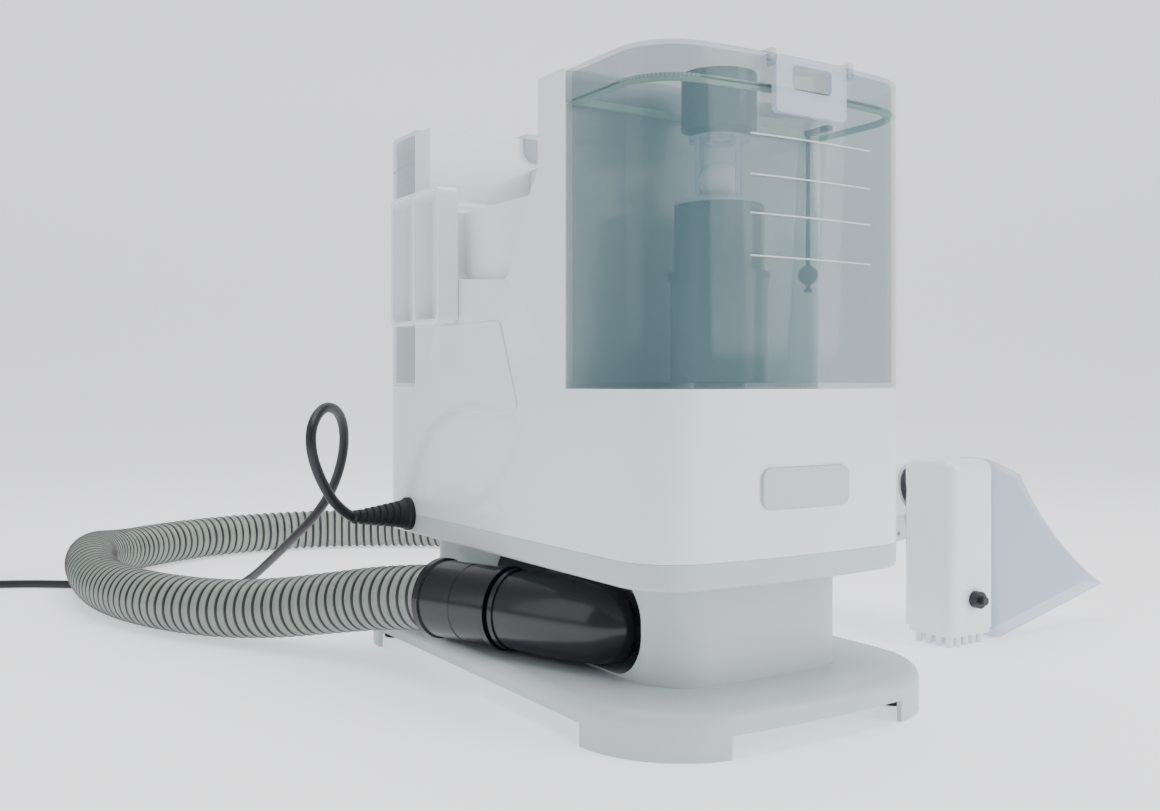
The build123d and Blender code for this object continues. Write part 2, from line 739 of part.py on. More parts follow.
with BuildPart() as tool_brush:
    with BuildSketch(Plane.XY.offset(head_low_z)):
        with Locations((tool_x + 3, tool_y - 26)):
            RectangleRounded(46, 40, 6)
    extrude(amount=-4)
    with BuildSketch(Plane.XY.offset(head_low_z - 4)):
        with Locations((tool_x + 3, tool_y - 26)):
            with GridLocations(8, 9, 5, 4):
                Circle(2.6)
    extrude(amount=4 - head_low_z)
tool_brush.part.label = "tool_brush"
export_step(tool_brush.part.moved(row_place), "parts/tool_brush.step")

with BuildPart() as spray_tip:
    with BuildSketch(Plane.XZ.offset(-(tool_y - 49))):
        with Locations((tool_x + 2, 34)):
            Circle(6)
    extrude(amount=6)
    with BuildSketch(Plane.XZ.offset(-(tool_y - 55))):
        with Locations((tool_x + 2, 34)):
            Circle(3)
    extrude(amount=4)
spray_tip.part.label = "spray_tip"
export_step(spray_tip.part.moved(row_place), "parts/spray_tip.step")

# ---- front tank: holds the dirty water ----
tank_z = ledge_z + 0.3
rim_z = body_top_z - lid_height - 1.0
front_back_y = pillar_front_y - tank_gap
far = 400.0

with BuildPart() as front_tank:
    with BuildSketch(Plane.XY.offset(tank_z)):
        add(body_plan)
        with Locations((0, front_back_y - far / 2)):
            Rectangle(far, far, mode=Mode.INTERSECT)
    extrude(amount=rim_z - tank_z)
    with BuildSketch(Plane.XY.offset(tank_z + tank_floor)):
        add(tank_inner)
        with Locations((0, front_back_y - tank_wall - far / 2)):
            Rectangle(far, far, mode=Mode.INTERSECT)
    extrude(amount=rim_z - tank_z, mode=Mode.SUBTRACT)
    with BuildSketch(Plane.XY.offset(tank_z)):
        with Locations((standpipe_x, standpipe_y)):
            Circle(duct_radius - 1)
    extrude(amount=tank_floor, mode=Mode.SUBTRACT)
    with BuildSketch(Plane.XY.offset(rim_z - 9)):
        with Locations((0, -half_length - 0.5)):
            Rectangle(26, 3.6)
    extrude(amount=3)
front_tank.part.label = "front_tank"
export_step(front_tank.part.moved(row_place), "parts/front_tank.step")

pipe_z = tank_z + tank_floor
band_z = 245.0
with BuildPart() as standpipe:
    with BuildSketch(Plane.XY.offset(pipe_z)):
        with Locations((standpipe_x, standpipe_y)):
            Circle(standpipe_radius)
    extrude(amount=band_z - pipe_z)
    with BuildSketch(Plane.XY.offset(band_z - 2)):
        with Locations((standpipe_x, standpipe_y)):
            Circle(standpipe_radius + 1.5)
    extrude(amount=4)
    with BuildSketch(Plane.XY.offset(band_z)):
        with Locations((standpipe_x, standpipe_y)):
            Circle(standpipe_radius - 2)
    extrude(amount=standpipe_top_z - band_z)
    with BuildSketch(Plane.XY.offset(pipe_z)):
        with Locations((standpipe_x, standpipe_y)):
            Circle(standpipe_radius - 4.5)
    extrude(amount=standpipe_top_z - pipe_z, mode=Mode.SUBTRACT)
standpipe.part.label = "standpipe"
export_step(standpipe.part.moved(row_place), "parts/standpipe.step")

with BuildPart() as float_cage:
    with BuildSketch(Plane.XY.offset(standpipe_top_z)):
        with Locations((standpipe_x, standpipe_y)):
            Circle(standpipe_radius - 2)
            Circle(cage_radius - 5, mode=Mode.SUBTRACT)
    extrude(amount=2.5)
    with BuildSketch(Plane.XY.offset(standpipe_top_z)):
        with Locations((standpipe_x, standpipe_y)):
            with PolarLocations(cage_radius - 1.5, 4):
                Circle(1.4)
    extrude(amount=cage_top_z - standpipe_top_z)
    with BuildSketch(Plane.XY.offset(cage_top_z - 2)):
        with Locations((standpipe_x, standpipe_y)):
            Circle(cage_radius)
            Circle(7, mode=Mode.SUBTRACT)
    extrude(amount=2)
float_cage.part.label = "float_cage"
export_step(float_cage.part.moved(row_place), "parts/float_cage.step")

ball_z = standpipe_top_z + 2.5 + ball_radius + 0.2
with BuildPart() as float_ball:
    with Locations((standpipe_x, standpipe_y, ball_z)):
        Sphere(ball_radius)
float_ball.part.label = "float_ball"
export_step(float_ball.part.moved(row_place), "parts/float_ball.step")

gauge_top_z = rim_z - 14
gauge_low_z = 238.0
bob_z = 246.0
with BuildPart() as gauge_rod:
    with BuildSketch(Plane.XY.offset(gauge_low_z)):
        with Locations((gauge_x, gauge_y)):
            Circle(gauge_rod_radius)
    extrude(amount=gauge_top_z - gauge_low_z)
    with BuildSketch(Plane.XY.offset(gauge_low_z)):
        with Locations((gauge_x, gauge_y)):
            Circle(2.4)
    extrude(amount=-1.5)
    with BuildSketch(Plane.XY.offset(gauge_top_z - 3)):
        with Locations((gauge_x, gauge_y - 9)):
            Rectangle(4, 20)
        add(tank_inner, mode=Mode.INTERSECT)
    extrude(amount=3)
gauge_rod.part.label = "gauge_rod"
export_step(gauge_rod.part.moved(row_place), "parts/gauge_rod.step")

with BuildPart() as gauge_bob:
    with Locations((gauge_x, gauge_y, bob_z)):
        Sphere(5.5)
    with BuildSketch(Plane.XY.offset(bob_z - 8)):
        with Locations((gauge_x, gauge_y)):
            Circle(gauge_rod_radius + gauge_gap)
    extrude(amount=16, mode=Mode.SUBTRACT)
gauge_bob.part.label = "gauge_bob"
export_step(gauge_bob.part.moved(row_place), "parts/gauge_bob.step")

lid_z = rim_z + lid_gap
lid_top_z = body_top_z - 1.0
with BuildPart() as front_lid:
    with BuildSketch(Plane.XY.offset(lid_z)):
        add(body_plan)
        with Locations((0, front_back_y - far / 2)):
            Rectangle(far, far, mode=Mode.INTERSECT)
    extrude(amount=lid_top_z - lid_z)
    fillet(front_lid.faces().sort_by(Axis.Z)[-1].edges().sort_by(Axis.Y)[:-1], radius=2.2)
    with BuildSketch(Plane.XY.offset(lid_z)):
        add(tank_inner)
        with Locations((0, front_back_y - tank_wall - far / 2)):
            Rectangle(far, far, mode=Mode.INTERSECT)
    extrude(amount=lid_top_z - lid_z - tank_wall, mode=Mode.SUBTRACT)
    for side in (-1, 1):
        with BuildSketch(Plane.YZ.offset(side * (latch_width / 2 + 0.5))):
            with Locations((-half_length - 2.5, lid_top_z - 5)):
                Rectangle(9, 8)
                Circle(1.5 + pin_gap, mode=Mode.SUBTRACT)
        extrude(amount=side * 4)
    with BuildSketch(Plane.XY.offset(lid_z)):
        add(tank_inner)
        with Locations((0, front_back_y - tank_wall - far / 2)):
            Rectangle(far, far, mode=Mode.INTERSECT)
    extrude(amount=lid_top_z - lid_z - tank_wall, mode=Mode.SUBTRACT)
front_lid.part.label = "front_lid"
export_step(front_lid.part.moved(row_place), "parts/front_lid.step")

outlet_low_z = cage_top_z + 4
with BuildPart() as lid_outlet:
    with BuildSketch(Plane.XY.offset(outlet_low_z)):
        with Locations((standpipe_x, standpipe_y)):
            Circle(21)
            Circle(18, mode=Mode.SUBTRACT)
    extrude(amount=lid_top_z - tank_wall - outlet_low_z)
    with BuildSketch(Plane.XY.offset(outlet_low_z + 6)):
        with Locations((standpipe_x, standpipe_y)):
            Circle(18)
            with PolarLocations(10, 8):
                Circle(3, mode=Mode.SUBTRACT)
    extrude(amount=2)
lid_outlet.part.label = "lid_outlet"
export_step(lid_outlet.part.moved(row_place), "parts/lid_outlet.step")

gasket_gap = 0.8
with BuildPart() as lid_gasket:
    with BuildSketch(Plane.XY.offset(rim_z - 1.4)) as gasket_ring:
        add(tank_inner)
        with Locations((0, front_back_y - tank_wall - far / 2)):
            Rectangle(far, far, mode=Mode.INTERSECT)
        offset(amount=-gasket_gap, mode=Mode.REPLACE)
        offset(amount=-2.5, mode=Mode.SUBTRACT)
    extrude(amount=1.4 + lid_gap)
    with BuildSketch(Plane.XY.offset(lid_z)) as gasket_lip:
        add(tank_inner)
        with Locations((0, front_back_y - tank_wall - far / 2)):
            Rectangle(far, far, mode=Mode.INTERSECT)
        offset(amount=-3.3, mode=Mode.SUBTRACT)
    extrude(amount=2)
lid_gasket.part.label = "lid_gasket"
export_step(lid_gasket.part.moved(row_place), "parts/lid_gasket.step")

latch_y = -half_length - 4.5
with BuildPart() as front_latch:
    with BuildSketch(Plane.XZ.offset(-latch_y - 1.9)) as latch_plate:
        with Locations((0, lid_top_z - 3 - latch_height / 2)):
            RectangleRounded(latch_width, latch_height, 3)
        with Locations((0, lid_top_z - 14)):
            RectangleRounded(latch_width - 22, 13, 3, mode=Mode.SUBTRACT)
    extrude(amount=3.8)
    with BuildSketch(Plane.YZ):
        with Locations((latch_y + 2, lid_top_z - 5)):
            Circle(1.5)
    extrude(amount=latch_width / 2 + 4.5, both=True)
front_latch.part.label = "front_latch"
export_step(front_latch.part.moved(row_place), "parts/front_latch.step")

# ---- rear tank: holds the clean water ----
rear_front_y = rear_wall_back_y + tank_gap
with BuildPart() as rear_tank:
    with BuildSketch(Plane.XY.offset(tank_z)):
        add(body_plan)
        with Locations((0, rear_front_y + far / 2)):
            Rectangle(far, far, mode=Mode.INTERSECT)
    extrude(amount=rim_z - tank_z)
    with BuildSketch(Plane.XY.offset(tank_z + tank_floor)):
        add(tank_inner)
        with Locations((0, rear_front_y + tank_wall + far / 2)):
            Rectangle(far, far, mode=Mode.INTERSECT)
    extrude(amount=rim_z - tank_z, mode=Mode.SUBTRACT)
    with BuildSketch(Plane.XY.offset(tank_z)):
        with Locations((valve_x, valve_y)):
            Circle(4 + pin_gap)
    extrude(amount=tank_floor, mode=Mode.SUBTRACT)
rear_tank.part.label = "rear_tank"
export_step(rear_tank.part.moved(row_place), "parts/rear_tank.step")

rear_top_z = body_top_z + 3.0
tab_height = 20.0
with BuildPart() as rear_lid:
    with BuildSketch(Plane.XY.offset(rim_z)):
        add(body_plan)
        with Locations((0, rear_front_y + far / 2)):
            Rectangle(far, far, mode=Mode.INTERSECT)
    extrude(amount=rear_top_z - rim_z)
    fillet(rear_lid.faces().sort_by(Axis.Z)[-1].edges().sort_by(Axis.Y)[1:], radius=2.2)
    with BuildSketch(Plane.XY.offset(rim_z)):
        add(tank_inner)
        with Locations((0, rear_front_y + tank_wall + far / 2)):
            Rectangle(far, far, mode=Mode.INTERSECT)
    extrude(amount=rear_top_z - rim_z - tank_wall, mode=Mode.SUBTRACT)
    with BuildSketch(Plane.XY.offset(rear_top_z)):
        with Locations((0, cap_y)):
            Circle(cap_radius + 0.4)
    extrude(amount=-tank_wall, mode=Mode.SUBTRACT)
    with BuildSketch(Plane.XY.offset(rear_top_z)):
        with Locations((0, (rear_wall_front_y - 5 + rear_front_y + 2) / 2)):
            Rectangle(46, rear_front_y + 2 - rear_wall_front_y + 5)
    extrude(amount=-tank_wall)
    with BuildSketch(Plane.XZ.offset(-(rear_wall_front_y - 0.5))) as tab:
        with Locations((0, rear_top_z - tab_height / 2)):
            Rectangle(46, tab_height)
        fillet(tab.vertices().group_by(Axis.Y)[0], radius=10)
    extrude(amount=4.5)
rear_lid.part.label = "rear_lid"
export_step(rear_lid.part.moved(row_place), "parts/rear_lid.step")

with BuildPart() as fill_cap:
    with BuildSketch(Plane.XY.offset(rear_top_z + 0.3)):
        with Locations((0, cap_y)):
            Circle(cap_radius + 4)
    extrude(amount=3)
    with BuildSketch(Plane.XY.offset(rear_top_z + 0.3)):
        with Locations((0, cap_y)):
            Circle(cap_radius)
    extrude(amount=-12)
    with BuildSketch(Plane.XY.offset(rear_top_z + 3.3)):
        with Locations((0, cap_y)):
            RectangleRounded(30, 5, 2)
    extrude(amount=3)
fill_cap.part.label = "fill_cap"
export_step(fill_cap.part.moved(row_place), "parts/fill_cap.step")

with BuildPart() as tank_valve:
    with BuildSketch(Plane.XY.offset(tank_z + tank_floor)):
        with Locations((valve_x, valve_y)):
            Circle(9)
    extrude(amount=3)
    with BuildSketch(Plane.XY.offset(tank_z)):
        with Locations((valve_x, valve_y)):
            Circle(4)
    extrude(amount=tank_floor)
tank_valve.part.label = "tank_valve"
export_step(tank_valve.part.moved(row_place), "parts/tank_valve.step")

# ---- mains lead: boot, free cord, coil, tie and plug ----
with BuildPart() as cable_boot:
    with BuildSketch(Plane.YZ.offset(-half_body)):
        with Locations((boot_y, boot_z)):
            Circle(boot_radius)
    extrude(amount=-boot_length, taper=1.5)
    fillet(cable_boot.faces().sort_by(Axis.X)[0].edges(), radius=2)
cable_boot.part.label = "cable_boot"
export_step(cable_boot.part.moved(row_place), "parts/cable_boot.step")

floor_z = cord_radius + 0.1
cord_route = [
    (-half_body - boot_length, boot_y, boot_z),
    (-149, 114, 102),
    (-161, 107, 117),
    (-170, 102, 134),
    (-173, 101, 150),
    (-168, 107, 163),
    (-155, 121, 171),
    (-139, 139, 167),
    (-128, 156, 152),
    (-124, 171, 131),
    (-125, 188, 108),
    (-130, 208, 88),
    (-136, 240, 68),
    (-140, 285, 45),
    (-143, 334, 22),
    (-149, 376, 6.5),
    (-165, 412, floor_z),
    (-192, 441, 3.8),
    (-226, 472, floor_z),
    (-262, 504, 3.7),
    (-296, 529, floor_z),
    (coil_x + 37, coil_y - coil_ring_radius, 3.7),
]
cord_radii = corner_radii(cord_route)
with BuildPart() as mains_cord:
    with BuildLine() as cord_line:
        FilletPolyline(*cord_route, radius=cord_radii)
    with BuildSketch(Plane(origin=cord_line.wire() @ 0, z_dir=cord_line.wire() % 0)):
        Circle(cord_radius)
    sweep()
cord_section = math.pi * cord_radius**2
route_report(
    "mains_cord", cord_route, cord_radii, cord_line.wire(), mains_cord.part, cord_section
)
mains_cord.part.label = "mains_cord"
export_step(mains_cord.part.moved(row_place), "parts/mains_cord.step")

with BuildPart() as cord_coil:
    with BuildSketch(Plane.XY.offset(coil_low_z)):
        with Locations((coil_x, coil_y)):
            Circle(coil_ring_radius + coil_section / 2)
            Circle(coil_ring_radius - coil_section / 2, mode=Mode.SUBTRACT)
    extrude(amount=coil_section)
    fillet(cord_coil.edges().filter_by(GeomType.CIRCLE), radius=8)
cord_coil.part.label = "cord_coil"
export_step(cord_coil.part.moved(row_place), "parts/cord_coil.step")

with BuildPart() as cord_tie:
    with BuildSketch(Plane.YZ.offset(coil_x - 6)):
        with Locations((coil_y - coil_ring_radius, coil_low_z + coil_section / 2)):
            RectangleRounded(coil_section + 9, coil_section + 2.4, 8)
            RectangleRounded(coil_section + 6.6, coil_section + 0.4, 7, mode=Mode.SUBTRACT)
    extrude(amount=12)
cord_tie.part.label = "cord_tie"
export_step(cord_tie.part.moved(row_place), "parts/cord_tie.step")

plug_z = coil_low_z + coil_section + plug_radius
plug_y = coil_y + coil_ring_radius
with BuildPart() as mains_plug:
    with BuildSketch(Plane.YZ.offset(coil_x - 8)):
        with Locations((plug_y, plug_z)):
            Circle(plug_radius)
    extrude(amount=30)
    with BuildSketch(Plane.YZ.offset(coil_x - 8)):
        with Locations((plug_y, plug_z)):
            Circle(8)
    extrude(amount=-26, taper=8)
    with BuildSketch(Plane.YZ.offset(coil_x + 22)):
        with Locations((plug_y, plug_z)):
            with GridLocations(19, 0, 2, 1):
                Circle(2.4)
    extrude(amount=19)
mains_plug.part.label = "mains_plug"
export_step(mains_plug.part.moved(row_place), "parts/mains_plug.step")
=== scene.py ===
import bmesh
import bpy
import json
import math
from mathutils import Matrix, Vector


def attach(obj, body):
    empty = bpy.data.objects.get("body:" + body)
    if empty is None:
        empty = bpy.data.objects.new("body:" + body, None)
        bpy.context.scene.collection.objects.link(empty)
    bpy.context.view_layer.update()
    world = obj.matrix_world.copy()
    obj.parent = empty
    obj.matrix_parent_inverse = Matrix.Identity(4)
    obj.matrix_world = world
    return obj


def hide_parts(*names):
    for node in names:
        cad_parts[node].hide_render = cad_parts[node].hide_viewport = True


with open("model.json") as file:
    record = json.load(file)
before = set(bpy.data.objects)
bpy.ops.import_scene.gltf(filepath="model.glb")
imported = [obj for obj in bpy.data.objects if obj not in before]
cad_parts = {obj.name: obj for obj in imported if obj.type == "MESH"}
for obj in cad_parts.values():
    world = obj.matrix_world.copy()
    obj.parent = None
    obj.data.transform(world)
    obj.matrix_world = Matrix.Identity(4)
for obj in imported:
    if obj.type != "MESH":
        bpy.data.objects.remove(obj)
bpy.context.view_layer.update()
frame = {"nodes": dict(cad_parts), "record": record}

nodes = frame["nodes"]
slotOf = {s["node"]: s["material_slot"] for s in frame["record"]["subparts"]}
bodyOf = {n: b for b, members in frame["record"]["behaviour"]["bodies"].items() for n in members}

# The machine's own plan is centred on x = 0, and the row's frame lies this far to the right (mm).
rowShift = -135.1056
bodyWidth = 190.0
bodyLength = 356.0
bodyBow = 8.0
bowRadius = ((bodyWidth / 2) ** 2 + bodyBow ** 2) / (2 * bodyBow)


def pt(x, y, z):
    return Vector(((x + rowShift) / 1000, y / 1000, z / 1000))


# The camera is level and looks from the front left.
view = dict(place=(-427, -629.3, 185.6), azimuth=32.4, lens=35.69, sensor=36, shift=-0.01853)
cameraData = bpy.data.cameras.new("photoCamera")
cameraData.sensor_width = view["sensor"]
cameraData.lens = view["lens"]
cameraData.shift_y = view["shift"]
camera = bpy.data.objects.new("photoCamera", cameraData)
camera.location = pt(*view["place"])
camera.rotation_euler = (math.radians(90), 0, math.radians(-view["azimuth"]))
bpy.context.scene.collection.objects.link(camera)
bpy.context.scene.camera = camera
print("stage: camera")


def linear(hexCode):
    values = [int(hexCode[i:i + 2], 16) / 255 for i in (0, 2, 4)]
    return [v / 12.92 if v <= 0.04045 else ((v + 0.055) / 1.055) ** 2.4 for v in values] + [1]


def addNode(tree, kind, values=None, **links):
    made = tree.nodes.new(kind)
    for socket, value in (values or {}).items():
        made.inputs[socket].default_value = value
    for socket, source in links.items():
        tree.links.new(source, made.inputs[socket])
    return made


# grain is the size of a surface's texture, and depth its height, both in mm.
finishes = {
    "white_abs": dict(title="White ABS", hex="EEF0F4", rough=0.22, grain=1.4, depth=0.02, coat=0.4),
    "plinth_abs": dict(title="Grey-green ABS", hex="C3CDCB", rough=0.38, grain=0.9, depth=0.03),
    "black_rubber": dict(title="Black rubber", hex="17181B", rough=0.6, grain=0.6, depth=0.05),
    "steel_screw": dict(
        title="Zinc plated steel", hex="A9ABAE", rough=0.3, grain=0.4, depth=0.02, metal=1.0,
    ),
    "badge_silver": dict(title="Satin silver plastic", hex="C4CBCB", rough=0.3, grain=0.8, depth=0.02),
    "black_abs": dict(title="Black ABS", hex="1C1D21", rough=0.4, grain=0.7, depth=0.03),
    "motor_steel": dict(
        title="Drawn motor steel", hex="8E9194", rough=0.35, grain=0.5, depth=0.02, metal=1.0,
    ),
    "black_gloss": dict(
        title="Polished black ABS", hex="0B0E15", rough=0.24, grain=2.0, depth=0.01, coat=0.15,
    ),
    "hose_vinyl": dict(title="Grey vinyl hose", hex="8F9A90", rough=0.26, grain=1.2, depth=0.02, alpha=0.9),
    "clear_plastic": dict(
        title="Clear styrene", hex="BFCDDF", rough=0.08, grain=3.0, depth=0.01, alpha=0.5,
    ),
    "cord_pvc": dict(title="Black PVC sheath", hex="15161A", rough=0.42, grain=0.5, depth=0.02),
    "tank_smoke": dict(title="Tinted styrene", hex="6F9297", rough=0.07, grain=4.0, depth=0.01, alpha=0.28),
    "pipe_smoke": dict(title="Smoked styrene", hex="2E3947", rough=0.16, grain=9.0, depth=0.002, alpha=0.9),
    "gasket_green": dict(title="Pale green seal", hex="9DB8AC", rough=0.6, grain=0.6, depth=0.03),
    "float_white": dict(title="White polypropylene", hex="E6E6E2", rough=0.4, grain=0.9, depth=0.02),
    "trigger_green": dict(title="Sea green ABS", hex="A3C4BC", rough=0.3, grain=1.0, depth=0.02),
    "level_marks": dict(
        title="Frosted styrene", hex="DDE8EA", rough=0.4, grain=0.8, depth=0.02, alpha=0.85,
    ),
}

# A broad change of gloss, this many mm across, lies under every surface's fine grain.
wearSize = 60


def plastic(title, hex, rough, grain, depth, metal=0.0, alpha=1.0, coat=0.0, glow=0.0):
    made = bpy.data.materials.new(title)
    made.use_nodes = True
    tree = made.node_tree
    shader = tree.nodes["Principled BSDF"]
    place = addNode(tree, "ShaderNodeTexCoord")
    texture = addNode(
        tree, "ShaderNodeTexNoise", {"Scale": 1000 / grain, "Detail": 3.0}, Vector=place.outputs["Object"]
    )
    wear = addNode(
        tree, "ShaderNodeTexNoise", {"Scale": 1000 / wearSize, "Detail": 4.0}, Vector=place.outputs["Object"]
    )
    spread = addNode(
        tree,
        "ShaderNodeMapRange",
        {"To Min": rough * 0.85, "To Max": rough * 1.2},
        Value=wear.outputs["Fac"],
    )
    bump = addNode(
        tree,
        "ShaderNodeBump",
        {"Strength": 0.4, "Distance": depth / 1000},
        Height=texture.outputs["Fac"],
    )
    tree.links.new(spread.outputs["Result"], shader.inputs["Roughness"])
    tree.links.new(bump.outputs["Normal"], shader.inputs["Normal"])
    shader.inputs["Base Color"].default_value = linear(hex)
    shader.inputs["Metallic"].default_value = metal
    shader.inputs["Alpha"].default_value = alpha
    shader.inputs["Coat Weight"].default_value = coat
    shader.inputs["Emission Color"].default_value = linear(hex)
    shader.inputs["Emission Strength"].default_value = glow
    return made


materials = {}
for slotName, facts in finishes.items():
    materials[slotName] = plastic(**facts)
print("stage: materials")


sharpFrom = math.radians(34)


def meshObject(name, bm, slotName, body, replaced=()):
    bmesh.ops.recalc_face_normals(bm, faces=bm.faces)
    mesh = bpy.data.meshes.new(name)
    bm.to_mesh(mesh)
    bm.free()
    mesh.shade_smooth()
    mesh.set_sharp_from_angle(angle=sharpFrom)
    mesh.materials.append(materials[slotName])
    made = bpy.data.objects.new(name, mesh)
    bpy.context.scene.collection.objects.link(made)
    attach(made, body)
    if replaced:
        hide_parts(*replaced)
    return made


def nurbs(name, points, bevel=0.0):
    curve = bpy.data.curves.new(name, "CURVE")
    curve.dimensions = "3D"
    spline = curve.splines.new("NURBS")
    spline.points.add(len(points) - 1)
    for made, point in zip(spline.points, points):
        made.co = (*point, 1)
    spline.order_u = 3
    spline.use_endpoint_u = True
    curve.resolution_u = 8
    curve.bevel_depth = bevel
    curve.bevel_resolution = 4
    curve.use_fill_caps = True
    made = bpy.data.objects.new(name, curve)
    bpy.context.scene.collection.objects.link(made)
    return made


# Points every step metres along the NURBS line of a route, and the line's length.
def centreline(points, step):
    guide = nurbs("guide", points)
    bpy.context.view_layer.update()
    graph = bpy.context.evaluated_depsgraph_get()
    mesh = bpy.data.meshes.new_from_object(guide.evaluated_get(graph))
    line = [v.co.copy() for v in mesh.vertices]
    bpy.data.meshes.remove(mesh)
    bpy.data.objects.remove(guide)
    total = sum((b - a).length for a, b in zip(line, line[1:]))
    count = round(total / step)
    step = total / count
    evenly = [line[0]]
    walked = 0.0
    for a, b in zip(line, line[1:]):
        run = (b - a).length
        while run > 0 and len(evenly) <= count and len(evenly) * step <= walked + run + 1e-9:
            evenly.append(a.lerp(b, min(1.0, (len(evenly) * step - walked) / run)))
        walked += run
    return evenly, total


def joinRings(bm, rings):
    bands = []
    for a, b in zip(rings, rings[1:]):
        bands.append([bm.faces.new((a[k], a[k - 1], b[k - 1], b[k])) for k in range(len(a))])
    bm.faces.new(rings[0])
    bm.faces.new(reversed(rings[-1]))
    return bands


def ringAt(bm, centre, side, across, radius, sides):
    ring = []
    for k in range(sides):
        turn = 2 * math.pi * k / sides
        ring.append(bm.verts.new(centre + (side * math.cos(turn) + across * math.sin(turn)) * radius))
    return ring


# A tube round a line, with one radius in metres for each of its points.
def tube(line, radii, sides):
    bm = bmesh.new()
    side = Vector((0, 0, 1))
    rings = []
    for i, centre in enumerate(line):
        ahead = line[min(i + 1, len(line) - 1)] - line[max(i - 1, 0)]
        ahead.normalize()
        side = (side - ahead * side.dot(ahead)).normalized()
        rings.append(ringAt(bm, centre, side, ahead.cross(side), radii[i], sides))
    return bm, joinRings(bm, rings)


# A turned piece: profile is a list of (distance along the axis, radius), in mm.
def lathe(name, origin, axis, profile, slotName, body, replaced=(), sides=48):
    bm = bmesh.new()
    ahead = Vector(axis).normalized()
    side = ahead.orthogonal().normalized()
    rings = []
    for distance, radius in profile:
        centre = origin + ahead * distance / 1000
        rings.append(ringAt(bm, centre, side, ahead.cross(side), radius / 1000, sides))
    joinRings(bm, rings)
    return meshObject(name, bm, slotName, body, replaced)


# The elbow and the hose's cuff lie on one slanting axis, and the hand tool's grip on another.
yaw = math.radians(20)
joint = dict(x=-90.0, y=-20.0, z=50.0, cuffLength=60.0)
cuffEnd = (
    joint["x"] - joint["cuffLength"] * math.sin(yaw), joint["y"] + joint["cuffLength"] * math.cos(yaw),
    joint["z"],
)
toolTilt = math.radians(15)
tool = dict(x=240.0, y=-45.0, z=108.0, length=212.0)
toolEnd = (
    tool["x"], tool["y"] + tool["length"] * math.cos(toolTilt),
    tool["z"] - tool["length"] * math.sin(toolTilt),
)

# The suction hose is ribbed vinyl with a black wire under each rib.
hose = dict(pitch=8.6, crest=21.0, dip=19.3, stations=6, sides=40, pathStep=3)
hoseRoute = [
    cuffEnd, (-126, 80, 45), (-146, 126, 36), (-172, 172, 27), (-201, 220, 22), (-228, 272, 21.4),
    (-245, 328, 21.2), (-253, 388, 22), (-251, 450, 30), (-236, 508, 29.5), (-206, 560, 22),
    (-160, 602, 21.2), (-104, 629, 21.4), (-42, 640, 21.2), (20, 633, 21.4), (78, 610, 21.2),
    (130, 574, 21.4), (174, 528, 21.2), (207, 474, 21.4), (228, 414, 21.2), (238, 352, 22),
    (241, 292, 27), (toolEnd[0] + 0.4, toolEnd[1] + 58, toolEnd[2] - 15.2), toolEnd,
]
hoseLine, hoseLength = centreline([pt(*p) for p in hoseRoute], hose["pitch"] / hose["stations"] / 1000)
ribDepth = (hose["crest"] - hose["dip"]) / 2
hoseRadii = []
for i in range(len(hoseLine)):
    wave = math.cos(2 * math.pi * (i % hose["stations"]) / hose["stations"])
    hoseRadii.append((hose["dip"] + ribDepth + ribDepth * wave) / 1000)
bm, bands = tube(hoseLine, hoseRadii, hose["sides"])
for i, band in enumerate(bands):
    if i % hose["stations"] in (0, hose["stations"] - 1):
        for face in band:
            face.material_index = 1
hosePiece = meshObject("ribbedHose", bm, "hose_vinyl", "chassis", ("suction_hose",))
hosePiece.data.materials.append(materials["cord_pvc"])
print("stage: hose", round(hoseLength, 3))

# The mains lead runs free, then winds 13 times round its coil and rises to the plug.
# coilCells are the (radius, height) of the turns, and stepOver the points a turn takes to the next.
coil = dict(x=-366.0, y=587.0, start=-75.0, perTurn=16, stepOver=5)
coilCells = [
    (52.5, 5), (45.5, 5), (38.5, 5), (31.5, 5), (38.5, 12), (45.5, 12), (52.5, 12),
    (52.5, 19), (45.5, 19), (38.5, 19), (38.5, 26), (45.5, 26), (52.5, 26),
]
cordRoute = [
    (-137, 118, 94.5), (-149, 114, 102), (-161, 107, 117), (-170, 102, 134), (-173, 101, 150),
    (-168, 107, 163), (-155, 121, 171), (-139, 139, 167), (-128, 156, 152), (-124, 171, 131),
    (-125, 188, 108), (-130, 208, 88), (-136, 240, 68), (-140, 285, 45), (-143, 334, 22),
    (-149, 376, 6.5), (-165, 412, 3.6), (-192, 441, 3.8), (-226, 472, 3.6), (-262, 504, 3.7),
    (-296, 529, 3.6), (-329, 542, 3.7),
]


def onCoil(degrees, radius, z):
    turn = math.radians(degrees)
    return (coil["x"] + radius * math.cos(turn), coil["y"] + radius * math.sin(turn), z)


for i, (radius, z) in enumerate(coilCells):
    nextRadius, nextZ = coilCells[min(i + 1, len(coilCells) - 1)]
    for k in range(coil["perTurn"]):
        share = max(0.0, (k - coil["perTurn"] + coil["stepOver"]) / coil["stepOver"])
        degrees = coil["start"] - 360 * (i + k / coil["perTurn"])
        cordRoute.append(onCoil(degrees, radius + (nextRadius - radius) * share, z + (nextZ - z) * share))
riseToPlug = [
    (285, 52.5, 26), (260, 52.5, 26), (235, 53, 26.5), (212, 55, 28), (190, 58, 32), (170, 60, 39),
    (152, 59, 45.5),
]
for degrees, radius, z in riseToPlug:
    cordRoute.append(onCoil(degrees, radius, z))
cordRoute += [(-411, 626, 47.6), (-400.5, 629, 48)]
leadRadius = 3.5
lead = nurbs("mainsLead", [pt(*p) for p in cordRoute], leadRadius / 1000)
lead.data.materials.append(materials["cord_pvc"])
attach(lead, "chassis")
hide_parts("mains_cord", "cord_coil")

